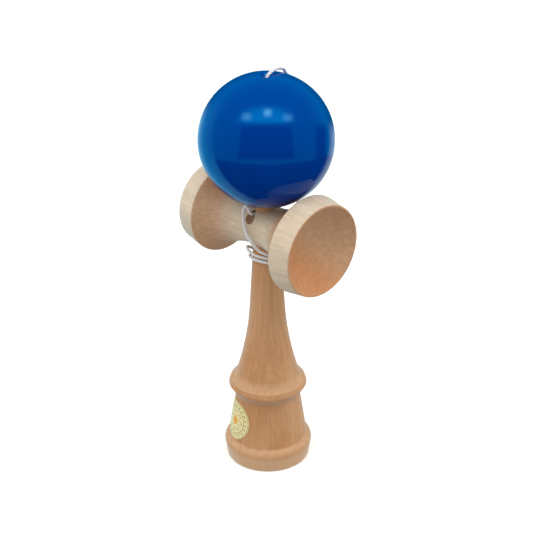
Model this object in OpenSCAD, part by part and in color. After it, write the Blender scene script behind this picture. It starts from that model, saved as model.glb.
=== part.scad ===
// Cup and ball toy: a turned handle with a spike, a cross piece with two cups pushed on it,
// and a ball with a deep hole that stands on the spike. One string joins the ball to the handle:
// it is knotted inside the handle, wound round its neck, led up the back of the ball and
// down through the ball's top hole to a bead. All sizes are in millimetres.

/* [Handle] */
// Whole length of the handle, foot to spike tip
ken_length = 164; // [163:0.5:168]
// Diameter at the foot, where the handle stands
foot_d = 38.8; // [37.8:0.2:39.8]
// Rounding of the foot's edge
foot_round = 0.8; // [0.4:0.1:1.2]
// Widest diameter of the foot band
band_d = 41.2; // [40.4:0.2:42.4]
// Height of the widest line of the foot band
band_z = 8; // [7.2:0.2:8.6]
// Rounding of the widest line of the foot band
band_round = 3; // [2:0.2:3.6]
// How far the shoulder above that line bulges
shoulder_bow = 0.35; // [0.2:0.05:0.4]
// Diameter of the crease above the foot band
crease_d = 38.2; // [37.6:0.2:39.6]
// Height of the crease above the foot band
crease_z = 10.8; // [10.2:0.2:11.4]
// Diameter of the base cone just above the crease
cone_d = 36.5; // [35.5:0.2:37.3]
// Height where the base cone starts
cone_z = 11.8; // [11.6:0.1:12.2]
// Diameter of the base cone where it meets the ring
cone_top_d = 30; // [28.4:0.2:31.2]
// Height where the base cone meets the ring
ring_low = 33.8; // [33.2:0.1:34.4]
// Diameter of the ring's lower edge, its widest line
ring_edge_d = 36.6; // [36:0.2:37.4]
// Height of the ring's lower edge
ring_edge_z = 38.9; // [38.4:0.1:39.4]
// Rounding of the ring's lower edge
ring_round = 0.5; // [0.2:0.1:0.8]
// Diameter of the ring's upper edge
ring_top_d = 35; // [34.2:0.2:35.6]
// Height of the ring's upper edge
ring_top_z = 41.3; // [41:0.1:41.8]
// Rounding of the ring's upper edge
ring_top_round = 0.3; // [0.2:0.1:0.5]
// Diameter where the cove above the ring runs out into the flare
flare_d = 28.4; // [27.6:0.2:29.2]
// Height where the cove runs out into the flare
cove_z = 46; // [45.2:0.1:46.8]
// How far the cove is drawn in from a straight line
cove_bow = 0.45; // [0.3:0.05:0.6]
// Height where the flare runs out into the straight taper
flare_z = 80; // [74:1:84]
// How far the flare is drawn in from a straight line
flare_bow = 1; // [0.6:0.1:1.4]
// Diameter of the neck at the top of the flare
neck_d = 16.2; // [15.2:0.2:17]
// Diameter of the spike where its tip is rounded off
tip_d = 6.4; // [5.6:0.2:7.2]
// Height of the spike's rounded tip
tip_round = 2.4; // [1.6:0.2:3]
// Diameter of the cup in the foot
base_cup_d = 34.8; // [32:0.2:35.6]
// Depth of the cup in the foot
base_cup_depth = 11; // [8:0.5:14]

/* [Cross piece] */
// Height of the spike's tip above the cross piece's axis
spike_up = 43.9; // [43.2:0.1:45]
// Diameter of the waist
waist_d = 20; // [18.8:0.2:21]
// Length of the straight part of the waist
waist_len = 5.6; // [4:0.2:8]
// Reach of the big cup's rim from the handle's axis
big_reach = 35.5; // [34:0.1:37]
// Outer diameter of the big cup's rim
big_rim_d = 42.4; // [41.8:0.2:44]
// Widest diameter of the big cup
big_corner_d = 45.6; // [44.6:0.2:48]
// Width of the big cup's band, rim to widest line
big_band = 10.6; // [8:0.2:11.2]
// Inner diameter of the big cup at the rim
big_cup_d = 41; // [38.8:0.2:41.4]
// Depth of the big cup
big_depth = 11; // [8:0.5:13]
// Reach of the small cup's rim from the handle's axis
small_reach = 37.5; // [36:0.1:39]
// Outer diameter of the small cup's rim
small_rim_d = 39.2; // [38.6:0.2:40.2]
// Widest diameter of the small cup
small_corner_d = 42.6; // [41.8:0.2:44.6]
// Width of the small cup's band, rim to widest line
small_band = 10; // [8:0.2:11]
// Inner diameter of the small cup at the rim
small_cup_d = 37.8; // [36:0.2:38.2]
// Depth of the small cup
small_depth = 10; // [8:0.5:12]
// Rounding of the cups' widest lines
corner_round = 1.2; // [0.6:0.2:2]
// Rounding of the cups' rims
rim_round = 0.3; // [0.2:0.05:0.35]

/* [Ball] */
// Diameter of the ball
ball_d = 60; // [58:0.5:62]
// Diameter of the hole that takes the spike
mouth_d = 22; // [20:0.2:23]
// Width of the bevel round the hole's mouth
mouth_bevel = 0.8; // [0.4:0.1:1.2]
// Height of the hole's ceiling above the ball's middle
ceiling_up = 12.9; // [12.4:0.1:13.4]
// Diameter of the flat ceiling of the hole
ceiling_d = 11; // [10:0.5:14]
// Length of the cone under the ceiling
ceiling_cone = 4; // [3:0.5:6]
// Extra width of the string hole in the ball's top over the string
top_hole_room = 1.8; // [1.5:0.1:2.7]
// Widening of the string hole at the ball's surface
top_hole_flare = 1.2; // [0.8:0.1:1.6]

/* [String] */
// Diameter of the string
string_d = 1.5; // [1.3:0.1:1.7]
// Gap from one turn round the neck to the next
turn_space = 0.6; // [0.55:0.05:0.9]
// Tilt of the turns, measured as rise at the high side
turn_tilt = 2.5; // [1.5:0.1:2.6]
// Extra room that the slack loop takes at the neck's left side
loop_slack = 1.2; // [0.6:0.1:1.6]
// Lift of the slack loop
loop_lift = 2.2; // [1:0.1:2.4]
// Diameter of the bead inside the ball
bead_d = 8; // [7:0.2:9]
// Height of the bead
bead_h = 7; // [6:0.2:8]
// Extra width of the bead's hole over the string
bead_hole_room = 0.7; // [0.5:0.1:1.3]
// Diameter of the two end knots
knot_d = 4.2; // [3.8:0.1:4.6]
// Length of the two end knots
knot_h = 3.2; // [2.8:0.1:3.4]

/* [String hole] */
// Place of the string hole beside the handle's axis
hole_x = -2; // [-2.5:0.1:0]
// Height of the string hole above the cross piece's axis
hole_up = 7.4; // [7:0.1:8]
// Extra width of the hole in the cross piece over the string
sarado_hole_room = 0.9; // [0.8:0.1:1.5]
// Extra width of the hole in the handle over the string
ken_hole_room = 1.1; // [0.9:0.1:1.3]

/* [Seal] */
// Diameter of the round foil seal on the base cone
seal_d = 19.2; // [14:0.2:19.4]
// Height of the seal's middle
seal_z = 21.6; // [21.6:0.1:23.8]
// Direction that the seal faces, counted from the big cup
seal_turn = 252; // [200:1:300]
// Thickness of the foil
seal_t = 0.2; // [0.1:0.05:0.3]

/* [Fits] */
// Gap all round between the handle's taper and the cross piece's bore
taper_gap = 0.05; // [0.02:0.01:0.1]
// Gap between the bead and the ceiling of the ball's hole
bead_gap = 0.2; // [0.1:0.05:0.4]
// Gap between the spike's tip and the knot that stands on it
tip_room = 0.2; // [0.1:0.05:0.4]
// Gap between a knot and what it stops against
knot_gap = 0.1; // [0.05:0.05:0.2]
// Gap round a knot in its pocket
pocket_gap = 0.3; // [0.2:0.05:0.4]
// Gap between the string's top turn and the cross piece's underside, at its start
under_gap = 1.2; // [1:0.05:1.6]
// Gap between the string's turns and the neck
turn_gap = 0.3; // [0.2:0.05:0.4]
// Thickness of the glue under the seal
seal_glue = 0.05; // [0.02:0.01:0.1]

/* [Hidden] */
$fn = 96;
beech = "#c9966b";
pale_beech = "#d6b48e";
lacquer_blue = "#0b4aa8";
cotton_white = "#e9e7e2";
bead_wood = "#d9b98c";
foil_gold = "#cdbb62";

// Steps along each round stretch of an outline
bow_steps = 10;
round_steps = 4;
// Sides of the free string and of its winding, and steps between the points of a route
run_sides = 8;
wind_sides = 6;
route_steps = 2;
// Length by which a cut runs past the face that it opens
overcut = 1;

// Derived places
tip_base_z = ken_length - tip_round;
sarado_z = ken_length - spike_up;
waist_r = waist_d / 2;
ball_r = ball_d / 2;
mouth_r = mouth_d / 2;
string_r = string_d / 2;
mouth_edge_r = mouth_r + mouth_bevel;
mouth_edge_drop = sqrt(ball_r * ball_r - mouth_edge_r * mouth_edge_r);
// The knot stands on the spike's tip, the bead on the knot and the ball's ceiling on the bead
bead_knot_top_z = ken_length + tip_room + knot_h;
bead_low_z = bead_knot_top_z + knot_gap;
ceiling_z = bead_low_z + bead_h + bead_gap;
ball_z = ceiling_z - ceiling_up;
// Holes that the string passes through
top_hole_d = string_d + top_hole_room;
bead_hole_d = string_d + bead_hole_room;
sarado_hole_d = string_d + sarado_hole_room;
ken_hole_d = string_d + ken_hole_room;
knot_end_d = 1.5 * string_d;
hole_z = sarado_z + hole_up;
// The knot in the handle lies in a pocket at the back of the string hole
pocket_y = 0.2;
ken_knot_y = pocket_y + knot_gap;

// Winding round the neck: angles count from the big cup, seen from above
wind_from = 335;
wind_to = 1075;
wind_steps = 50;
tilt_turn = 285;
loop_turn = 585;
loop_width = 32;
turn_pitch = string_d + turn_space;
wind_top_z = sarado_z - waist_r - under_gap;
wind_low_z = wind_top_z - 2 * turn_tilt - under_gap;
wind_r = taper_r(wind_low_z) + string_r + turn_gap;

// Route of the string from the winding up behind the cross piece, with heights counted from its axis
neck_route = [
    [8.1, 5.2, -18.2], [7.4, 7.8, -17.9], [6.2, 10, -16.5], [4.8, 11.6, -14.1], [3.5, 12.8, -10.8],
    [2.4, 14, -7.1], [1.9, 15.5, -3.1], [1.2, 17.4, 1.4], [0.3, 19.2, 5.9], [-0.7, 21, 10.4],
    [-2, 22.8, 14.9], [-3.4, 24.4, 19.4], [-5.1, 26, 23.9]
];
// Route up the ball's back: turn from straight behind, angle from the top, gap to the ball
back_route = [
    [14, 112, 0.5], [14.5, 104, 0.4], [15, 96, 0.35], [15.5, 88, 0.35], [16, 80, 0.35], [17, 72, 0.35],
    [18, 64, 0.35], [19, 56, 0.35], [20, 48, 0.35], [20, 41, 0.35], [19.5, 35, 0.5]
];
// Route over the ball's top and down through it, counted from its topmost point
top_route = [
    [-4.2, 14.8, -2.5], [-2.6, 12.2, -1], [-1.3, 9.4, 0.2], [-0.2, 6.4, 1], [0.5, 3.6, 1.1],
    [0.6, 1.5, 0.4], [0.4, 0.2, -1], [0.2, -0.3, -3.25], [0.1, -0.2, -6.25], [0, 0, -9.75],
    [0, 0, -13.25], [0, 0, -17], [0, 0, -20.5]
];
// Route of the string from the knot in the handle out of its hole and down the waist,
// with heights counted from the cross piece's axis
lead_route = [
    [-2, -2, 7.4], [-2, -4.2, 7.3], [-2, -6.2, 7.2], [-1.9, -7.7, 7.7], [-1.8, -8.7, 8.9],
    [-2, -9.1, 10.4], [-2.8, -9.3, 11.5], [-3.8, -9.5, 11.4], [-4.4, -9.8, 10.2], [-4.4, -10, 8.7],
    [-4.1, -10.4, 7.2], [-3.6, -10.8, 5.7], [-2.9, -11.3, 4.2], [-2.1, -11.6, 2.6], [-1.1, -11.9, 0.8],
    [0.1, -11.9, -1], [1.3, -11.7, -2.7], [2.3, -11.1, -4.5], [3.2, -10.2, -6.2], [4, -9.2, -7.7],
    [4.8, -8.2, -8.8]
];

// Shared functions
function unit(v) = v / norm(v);
function mix_r(z, z0, r0, z1, r1) = r0 + (r1 - r0) * (z - z0) / (z1 - z0);
// Radius of the handle's straight taper, neck to spike tip
function taper_r(z) = mix_r(z, flare_z, neck_d / 2, tip_base_z, tip_d / 2);
// Radius of the base cone
function cone_r(z) = mix_r(z, cone_z, cone_d / 2, ring_low, cone_top_d / 2);
// Rise of the arc that makes one half of a bowl's section
function bowl_rise(r, depth) =
    let (radius = (r * r + depth * depth) / (2 * depth))
    radius - sqrt(radius * radius - (r * r + depth * depth) / 4);
// Points after p on the arc to q that bulges to the left of the way by rise
function bow(p, q, rise, steps) =
    let (way = q - p,
         half = norm(way) / 2,
         radius = (half * half + rise * rise) / (2 * rise),
         centre = (p + q) / 2 + [-way[1], way[0]] / (2 * half) * (rise - radius),
         start = atan2(p[1] - centre[1], p[0] - centre[0]),
         sweep = -sign(rise) * 2 * asin(half / abs(radius)))
    [for (i = [1:steps])
        let (turn = start + sweep * i / steps)
        centre + abs(radius) * [cos(turn), sin(turn)]];
// Points that round the corner p of an outline that comes from a and goes to b
function rounded(a, p, b, r, steps) =
    let (u = unit(a - p),
         v = unit(b - p),
         half = acos(u * v) / 2,
         from = p + u * r / tan(half),
         to = p + v * r / tan(half),
         turn = sign((p[0] - a[0]) * (b[1] - p[1]) - (p[1] - a[1]) * (b[0] - p[0])))
    concat([from], bow(from, to, -turn * r * (1 - sin(half)), steps));
// Radius of the arc from the waist to a cup's widest line
function flank_bow(corner_r, corner_x) =
    let (run = corner_x - waist_len / 2, rise = corner_r - waist_r)
    (run * run + rise * rise) / (2 * rise);

// Points on a smooth curve through the points of a route
function curve_point(a, b, c, d, t) =
    ((2 * b) + (c - a) * t + (2 * a - 5 * b + 4 * c - d) * t * t + (3 * b - a - 3 * c + d) * t * t * t) / 2;
function curve(route, steps) =
    let (last = len(route) - 1)
    concat([for (i = [0:last - 1], j = [0:steps - 1])
        curve_point(route[max(i - 1, 0)], route[i], route[i + 1], route[min(i + 2, last)], j / steps)],
        [route[last]]);
// Directions along a path, and the side directions carried along it without twist
function directions(path) =
    let (last = len(path) - 1)
    [for (i = [0:last]) unit(path[min(i + 1, last)] - path[max(i - 1, 0)])];
function side_of(v, along) = unit(v - (v * along) * along);
function sides_along(ways, first) =
    [for (i = 0, v = side_of(first, ways[0]); i < len(ways);
          i = i + 1, v = side_of(v, ways[min(i, len(ways) - 1)])) v];

// Path of the winding, with a straight end of one string diameter at each end
function bell(x) = exp(-x * x);
function wind_point(a) =
    let (slack = bell((a - loop_turn) / loop_width),
         r = wind_r + loop_slack * slack,
         tilt = turn_tilt * (cos(a - tilt_turn) - cos(wind_from - tilt_turn)))
    [r * cos(a), r * sin(a),
     wind_top_z - turn_pitch * (a - wind_from) / 360 + tilt + loop_lift * slack];
wind_turns = [for (i = [0:wind_steps]) wind_point(wind_from + (wind_to - wind_from) * i / wind_steps)];
wind_start_way = unit(wind_turns[0] - wind_turns[1]);
wind_end_way = unit(wind_turns[wind_steps] - wind_turns[wind_steps - 1]);
wind_start = wind_turns[0] + wind_start_way * string_d;
wind_end = wind_turns[wind_steps] + wind_end_way * string_d;
wind_path = concat([wind_start], wind_turns, [wind_end]);
// Least gap of the winding to itself, between points more than half a turn apart
half_turn = 12;
wind_gap = min([for (i = [0:len(wind_path) - 1], j = [i + half_turn:1:len(wind_path) - 1])
    norm(wind_path[i] - wind_path[j])]) - string_d;
echo(least_gap_of_winding = wind_gap);

// Paths of the two free stretches, each starting or ending on the winding's end faces
function ball_point(turn, polar, gap) =
    [0, 0, ball_z]
    + (ball_r + string_r + gap) * [-sin(turn) * sin(polar), cos(turn) * sin(polar), cos(polar)];
run_points = concat([for (p = neck_route) p + [0, 0, sarado_z]],
                    [for (p = back_route) ball_point(p[0], p[1], p[2])],
                    [for (p = top_route) p + [0, 0, ball_z + ball_r]]);
run_path = concat([wind_end], curve(concat([wind_end + wind_end_way * string_d], run_points,
                                           [[0, 0, bead_knot_top_z]]), route_steps));
lead_points = [for (p = lead_route) p + [0, 0, sarado_z]];
lead_path = concat(curve(concat([[hole_x, ken_knot_y, hole_z]], lead_points,
                                [wind_start + wind_start_way * string_d]), route_steps),
                   [wind_start]);
function path_length(path) =
    let (steps = [for (i = [1:len(path) - 1]) norm(path[i] - path[i - 1])])
    steps * [for (s = steps) 1];
echo(lead_length = path_length(lead_path), winding_length = path_length(wind_path),
     run_length = path_length(run_path));

// One closed tube swept along a path
module tube(path, sides, first_side) {
    ways = directions(path);
    across = sides_along(ways, first_side);
    rings = len(path);
    points = [for (i = [0:rings - 1], k = [0:sides - 1])
        path[i] + string_r * (cos(360 * k / sides) * across[i]
                              + sin(360 * k / sides) * cross(ways[i], across[i]))];
    skin = [for (i = [0:rings - 2], k = [0:sides - 1], half = [0, 1])
        let (a = i * sides + k,
             b = i * sides + (k + 1) % sides)
        half == 0 ? [a, a + sides, b] : [b, a + sides, b + sides]];
    start_cap = [for (k = [1:sides - 2]) [0, k, k + 1]];
    end = (rings - 1) * sides;
    end_cap = [for (k = [1:sides - 2]) [end, end + k + 1, end + k]];
    polyhedron(points, concat(skin, start_cap, end_cap), convexity = 10);
}

// Barrel shape shared by the bead and the knots
module barrel(d, h, end_d) {
    rotate_extrude()
        polygon(concat([[0, 0], [end_d / 2, 0]],
                       bow([end_d / 2, 0], [end_d / 2, h], -(d - end_d) / 2, bow_steps),
                       [[0, h]]));
}

// Outline of the handle, foot cup to spike tip
ken_foot = [foot_d / 2, 0];
ken_band = [band_d / 2, band_z];
ken_crease = [crease_d / 2, crease_z];
ken_cone = [cone_d / 2, cone_z];
ring_foot = [cone_top_d / 2, ring_low];
ring_edge = [ring_edge_d / 2, ring_edge_z];
ring_top = [ring_top_d / 2, ring_top_z];
flare_foot = [flare_d / 2, cove_z];
band_shoulder = bow(ken_band, ken_crease, -shoulder_bow, bow_steps);
ring_cove = bow(ring_top, flare_foot, cove_bow, bow_steps);
crease_bow = 0.15;
ken_outline = concat(
    [[0, base_cup_depth]],
    bow([0, base_cup_depth], [base_cup_d / 2, 0], bowl_rise(base_cup_d / 2, base_cup_depth), bow_steps),
    rounded([base_cup_d / 2, 0], ken_foot, ken_band, foot_round, round_steps),
    rounded(ken_foot, ken_band, band_shoulder[0], band_round, round_steps),
    [for (i = [1:bow_steps - 1]) band_shoulder[i]],
    bow(ken_crease, ken_cone, crease_bow, round_steps),
    [ring_foot],
    rounded(ring_foot, ring_edge, ring_top, ring_round, round_steps),
    rounded(ring_edge, ring_top, ring_cove[0], ring_top_round, round_steps),
    [for (i = [1:bow_steps - 1]) ring_cove[i]],
    bow(flare_foot, [neck_d / 2, flare_z], flare_bow, bow_steps),
    [[tip_d / 2, tip_base_z]],
    bow([tip_d / 2, tip_base_z], [0, ken_length], -bowl_rise(tip_d / 2, tip_round), round_steps));

module string_bore(d, from_y, to_y) {
    translate([hole_x, from_y, hole_z])
        rotate([-90, 0, 0])
            cylinder(d = d, h = to_y - from_y);
}

module ken() {
    color(beech)
        difference() {
            rotate_extrude() polygon(ken_outline);
            string_bore(ken_hole_d, -neck_d, pocket_y + knot_gap);
            string_bore(knot_d + 2 * pocket_gap, pocket_y, neck_d);
        }
}

// Outline of one half of the cross piece, as radius and reach along its axis
function cup_outline(reach, rim_d, corner_d, band, cup_d, depth) =
    let (corner = [corner_d / 2, reach - band],
         rim = [rim_d / 2, reach],
         lip = [cup_d / 2, reach],
         waist_end = [waist_r, waist_len / 2],
         half_chord = norm(corner - waist_end) / 2,
         radius = flank_bow(corner[0], corner[1]),
         rise = radius - sqrt(radius * radius - half_chord * half_chord),
         flank = bow(waist_end, corner, rise, bow_steps),
         flank_open = [for (i = [0:bow_steps - 2]) flank[i]],
         bottom = [0, reach - depth])
    concat([waist_end], flank_open,
           rounded(flank[bow_steps - 2], corner, rim, corner_round, round_steps),
           rounded(corner, rim, lip, rim_round, round_steps),
           [lip],
           bow(lip, bottom, bowl_rise(cup_d / 2, depth), bow_steps));

module half_sarado(outline) {
    rotate_extrude()
        polygon(concat([[0, 0], [waist_r, 0]], outline));
}

module sarado() {
    low_z = sarado_z - waist_r - overcut;
    high_z = sarado_z + waist_r + overcut;
    bore_low_r = taper_r(low_z) + taper_gap;
    bore_high_r = taper_r(high_z) + taper_gap;
    color(pale_beech)
        difference() {
            union() {
                translate([0, 0, sarado_z])
                    rotate([0, 90, 0])
                        half_sarado(cup_outline(big_reach, big_rim_d, big_corner_d, big_band,
                                                big_cup_d, big_depth));
                translate([0, 0, sarado_z])
                    rotate([0, -90, 0])
                        half_sarado(cup_outline(small_reach, small_rim_d, small_corner_d, small_band,
                                                small_cup_d, small_depth));
            }
            translate([0, 0, low_z])
                cylinder(h = high_z - low_z, r1 = bore_low_r, r2 = bore_high_r);
            string_bore(sarado_hole_d, -waist_d, 0);
        }
}

module ball() {
    color(lacquer_blue)
        translate([0, 0, ball_z])
            difference() {
                sphere(d = ball_d);
                translate([0, 0, -ball_r])
                    cylinder(d = mouth_d, h = ball_r + ceiling_up - ceiling_cone);
                translate([0, 0, ceiling_up - ceiling_cone])
                    cylinder(d1 = mouth_d, d2 = ceiling_d, h = ceiling_cone);
                mouth_bevel_cut();
                cylinder(d = top_hole_d, h = ball_r + overcut);
                translate([0, 0, ball_r - top_hole_flare])
                    cylinder(d1 = top_hole_d, d2 = top_hole_d + 4 * top_hole_flare, h = 2 * top_hole_flare);
            }
}

module mouth_bevel_cut() {
    translate([0, 0, -mouth_edge_drop - mouth_bevel])
        cylinder(r1 = mouth_edge_r + mouth_bevel, r2 = mouth_r, h = 2 * mouth_bevel);
}

module bead() {
    color(bead_wood)
        translate([0, 0, bead_low_z])
            difference() {
                barrel(bead_d, bead_h, bead_d / 2);
                translate([0, 0, -overcut])
                    cylinder(d = bead_hole_d, h = bead_h + 2 * overcut);
            }
}

module bead_knot() {
    color(cotton_white)
        translate([0, 0, bead_knot_top_z - knot_h])
            barrel(knot_d, knot_h, knot_end_d);
}

module ken_knot() {
    color(cotton_white)
        translate([hole_x, ken_knot_y, hole_z])
            rotate([-90, 0, 0])
                barrel(knot_d, knot_h, knot_end_d);
}

module string_ball_run() {
    color(cotton_white) tube(run_path, run_sides, [0, 0, 1]);
}

module string_neck_winding() {
    color(cotton_white) tube(wind_path, wind_sides, [0, 0, 1]);
}

module string_lead() {
    color(cotton_white) tube(lead_path, run_sides, [0, 0, 1]);
}

module seal_sticker() {
    low = seal_z - seal_d / 2 - overcut;
    high = seal_z + seal_d / 2 + overcut;
    lean = atan2(cone_r(low) - cone_r(high), high - low);
    color(foil_gold)
        intersection() {
            rotate_extrude()
                polygon([[cone_r(low) + seal_glue, low], [cone_r(low) + seal_glue + seal_t, low],
                         [cone_r(high) + seal_glue + seal_t, high], [cone_r(high) + seal_glue, high]]);
            rotate([0, 0, seal_turn])
                translate([cone_r(seal_z) / 2, 0, seal_z])
                    rotate([0, 90 - lean, 0])
                        cylinder(d = seal_d, h = cone_r(seal_z));
        }
}

ken();
sarado();
ball();
bead();
bead_knot();
ken_knot();
string_ball_run();
string_neck_winding();
string_lead();
seal_sticker();
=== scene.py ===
"""Cup and ball toy: the looks of its turned beech, its lacquered ball, its laid string and its foil seal."""
import math

import bmesh
import bpy
from mathutils import Matrix, Vector


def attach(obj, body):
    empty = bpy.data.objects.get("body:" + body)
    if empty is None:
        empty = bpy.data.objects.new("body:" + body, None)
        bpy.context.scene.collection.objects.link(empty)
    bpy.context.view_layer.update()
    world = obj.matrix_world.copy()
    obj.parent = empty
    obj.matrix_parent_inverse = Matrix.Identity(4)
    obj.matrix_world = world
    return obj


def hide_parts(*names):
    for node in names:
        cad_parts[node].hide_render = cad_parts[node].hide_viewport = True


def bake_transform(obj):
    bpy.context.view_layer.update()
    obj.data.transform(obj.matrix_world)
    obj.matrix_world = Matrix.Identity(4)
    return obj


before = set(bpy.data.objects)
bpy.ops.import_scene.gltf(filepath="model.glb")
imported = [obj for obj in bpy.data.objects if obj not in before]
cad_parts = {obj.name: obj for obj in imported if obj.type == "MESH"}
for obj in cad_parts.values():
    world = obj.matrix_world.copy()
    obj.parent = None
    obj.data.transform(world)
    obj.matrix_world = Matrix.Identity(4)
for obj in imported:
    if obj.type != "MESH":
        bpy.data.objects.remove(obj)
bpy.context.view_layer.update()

MM = 0.001
TURN = 2 * math.pi

# View of the photograph, in pixels of its frame, degrees and metres, with the sensor in millimetres
FRAME_PIXELS = 540
FOCAL_PIXELS = 1586.5
SENSOR_WIDTH = 36
VIEW_TURN = math.radians(46.82)
VIEW_RISE = math.radians(27.86)
VIEW_ROLL = math.radians(-0.31)
VIEW_DISTANCE = 720.9 * MM
AIM = Vector((0.9, 0.96, 97.62)) * MM

# Handle, in millimetres from the foot upwards
KEN_LENGTH = 164
FOOT_R = 19.4
FOOT_ROUND = 0.8
BAND_R, BAND_Z, BAND_ROUND, SHOULDER_BOW = 20.6, 8, 3, 0.35
CREASE_R, CREASE_Z, CREASE_BOW = 19.1, 10.8, 0.15
CONE_R, CONE_Z, CONE_TOP_R = 18.25, 11.8, 15
RING_LOW, RING_EDGE_R, RING_EDGE_Z, RING_ROUND = 33.8, 18.3, 38.9, 0.5
RING_TOP_R, RING_TOP_Z, RING_TOP_ROUND = 17.5, 41.3, 0.3
FLARE_R, COVE_Z, COVE_BOW = 14.2, 46, 0.45
FLARE_Z, FLARE_BOW = 80, 1
NECK_R = 8.1
TIP_R, TIP_ROUND = 3.2, 2.4
FOOT_CUP_R, FOOT_CUP_DEPTH, FOOT_CUP_EDGE = 17.4, 11, 0.35

# Cross piece, in millimetres along its own axis
SARADO_Z = 120.1
WAIST_R, WAIST_HALF = 10, 2.8
BIG_CUP = dict(reach=35.5, rim_r=21.2, corner_r=22.8, band=10.6, cup_r=20.5, depth=11)
SMALL_CUP = dict(reach=37.5, rim_r=19.6, corner_r=21.3, band=10, cup_r=18.9, depth=10)
CORNER_ROUND, RIM_ROUND, LIP_ROUND = 1.2, 0.3, 0.2
TAPER_GAP = 0.05
HOLE_X, HOLE_Z = -2, 127.5
SARADO_HOLE_R, KEN_HOLE_R, HOLE_EDGE = 1.2, 1.3, 0.2
POCKET_R, POCKET_Y, POCKET_LENGTH = 2.4, 0.2, 9
# Drills start this far outside the wood, and the string's drill runs this far into the knot's pocket
DRILL_OVER, BORE_OVER, POCKET_LAP = 4, 1, 0.5

# Ball, bead and knots
BALL_R, BALL_Z = 30, 161.8
BALL_MIDDLE = Vector((0, 0, BALL_Z)) * MM
MOUTH_R, MOUTH_BEVEL = 11, 0.8
CEILING_Z, CEILING_R, CEILING_CONE, CEILING_ROUND = 174.7, 5.5, 4, 1
TOP_HOLE_R, TOP_HOLE_FLARE, BALL_EDGE_ROUND = 1.65, 1.2, 0.3
# The lacquer runs this far into the ball's holes
LACQUER_DEPTH = 2.5
BEAD_R, BEAD_H, BEAD_HOLE_R, BEAD_Z = 4, 7, 1.1, 167.5
KNOT_R, KNOT_H, KNOT_WRAPS, KNOT_STEPS, KNOT_SMOOTH = 2.1, 3.2, 1.55, 48, 3
# A knot's string is drawn thinner by a share. Its core bends at a share of the knot's height, and reaches its
# wraps at a share of their radius and a height over the lowest
KNOT_DRAWN, KNOT_BEND, KNOT_FOOT_R, KNOT_FOOT_Z = 0.76, 0.7, 0.3, 0.5
BEAD_KNOT_TOP_Z = 167.4
KEN_KNOT_Y = 0.3

# String: its winding round the neck, as in the model, and the routes of its free stretches
STRING_D = 1.5
WIND_FROM, WIND_TO, WIND_STEPS, WIND_FINE = 335, 1075, 50, 200
WIND_TOP_Z, WIND_LOW_Z, WIND_PITCH = 108.9, 102.7, 2.1
WIND_GAP, WIND_TILT, TILT_TURN = 0.3, 2.5, 285
LOOP_TURN, LOOP_WIDTH, LOOP_SLACK, LOOP_LIFT = 585, 32, 1.2, 2.2
# Route up behind the cross piece, with heights counted from its axis
NECK_ROUTE = [
    (8.1, 5.2, -18.2), (7.4, 7.8, -17.9), (6.2, 10, -16.5), (4.8, 11.6, -14.1), (3.5, 12.8, -10.8),
    (2.4, 14, -7.1), (1.9, 15.5, -3.1), (1.2, 17.4, 1.4), (0.3, 19.2, 5.9), (-0.7, 21, 10.4),
    (-2, 22.8, 14.9), (-3.4, 24.4, 19.4), (-5.1, 26, 23.9),
]
# Route up the ball's back: turn from straight behind, angle from the top, gap to the ball
BACK_ROUTE = [
    (14, 112, 0.5), (14.5, 104, 0.4), (15, 96, 0.35), (15.5, 88, 0.35), (16, 80, 0.35), (17, 72, 0.35),
    (18, 64, 0.35), (19, 56, 0.35), (20, 48, 0.35), (20, 41, 0.35), (19.5, 35, 0.5),
]
# Route over the ball's top and down through it, counted from its topmost point
TOP_ROUTE = [
    (-4.2, 14.8, -2.5), (-2.6, 12.2, -1), (-1.3, 9.4, 0.2), (-0.2, 6.4, 1), (0.5, 3.6, 1.1),
    (0.6, 1.5, 0.4), (0.4, 0.2, -1), (0.2, -0.3, -3.25), (0.1, -0.2, -6.25), (0, 0, -9.75),
    (0, 0, -13.25), (0, 0, -17), (0, 0, -20.5),
]
# Route from the knot in the handle down the waist, with heights counted from the cross piece's axis
LEAD_ROUTE = [
    (-2, -2, 7.4), (-2, -4.2, 7.3), (-2, -6.2, 7.2), (-1.9, -7.7, 7.7), (-1.8, -8.7, 8.9),
    (-2, -9.1, 10.4), (-2.8, -9.3, 11.5), (-3.8, -9.5, 11.4), (-4.4, -9.8, 10.2), (-4.4, -10, 8.7),
    (-4.1, -10.4, 7.2), (-3.6, -10.8, 5.7), (-2.9, -11.3, 4.2), (-2.1, -11.6, 2.6), (-1.1, -11.9, 0.8),
    (0.1, -11.9, -1), (1.3, -11.7, -2.7), (2.3, -11.1, -4.5), (3.2, -10.2, -6.2), (4, -9.2, -7.7),
    (4.8, -8.2, -8.8),
]
ROUTE_STEPS = 6
# Strands of the string, which press a little into each other, and the length of one turn of their lay
STRAND_COUNT, STRAND_SIDES, STRAND_PRESS = 3, 8, 1.04
STRING_LAY = 4.6 * MM
STRING_STEP = 0.4 * MM

# Seal on the base cone
SEAL_R, SEAL_Z, SEAL_TURN = 9.6, 21.6, math.radians(252)
SEAL_GLUE, SEAL_THICK, SEAL_WELD = 0.05, 0.2, 0.001 * MM

# Fineness of the meshes
LATHE_SEGMENTS, LATHE_HUB, LATHE_WELD = 192, 1 * MM, 0.002 * MM
ARC_STEPS, BALL_STEPS, EDGE_STEPS = 36, 108, 8
SHARP_ANGLE = math.radians(32)


# Nodes and objects

def connect(tree, node, inputs):
    """Links a node's inputs to sockets or sets them to values."""
    for name, value in inputs.items():
        if isinstance(value, bpy.types.NodeSocket):
            tree.links.new(value, node.inputs[name])
        else:
            node.inputs[name].default_value = value


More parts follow.
